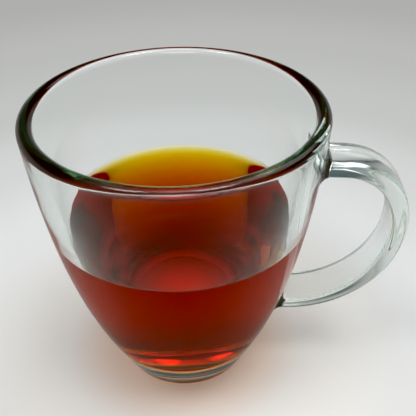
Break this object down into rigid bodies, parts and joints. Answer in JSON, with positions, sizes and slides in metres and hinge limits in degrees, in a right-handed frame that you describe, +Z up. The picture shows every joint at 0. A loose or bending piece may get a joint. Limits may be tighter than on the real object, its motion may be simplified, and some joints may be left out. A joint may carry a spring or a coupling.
{
  "type": "glass cup of tea",
  "caption": "Clear glass mug with a strap handle, tapering to a heavy foot, filled to about two thirds with brewed tea.",
  "frame": {"origin": "centre of the part's box at the height of the surface it stands on; the cup's axis stands 14.1 mm to -X of it", "axes": "+Z up; +X from the cup out to its handle, the longest extent; Y across the handle, the shortest extent"},
  "size_m": [0.1182, 0.09, 0.1014],
  "materials": {
    "clear_glass": "clear, fire polished, faintly green in the thick edges",
    "brewed_tea": "clear red-brown tea, amber where it is thin"
  },
  "bodies": {
    "root": {"mug": "clear_glass", "tea": "brewed_tea"}
  },
  "joints": []
}
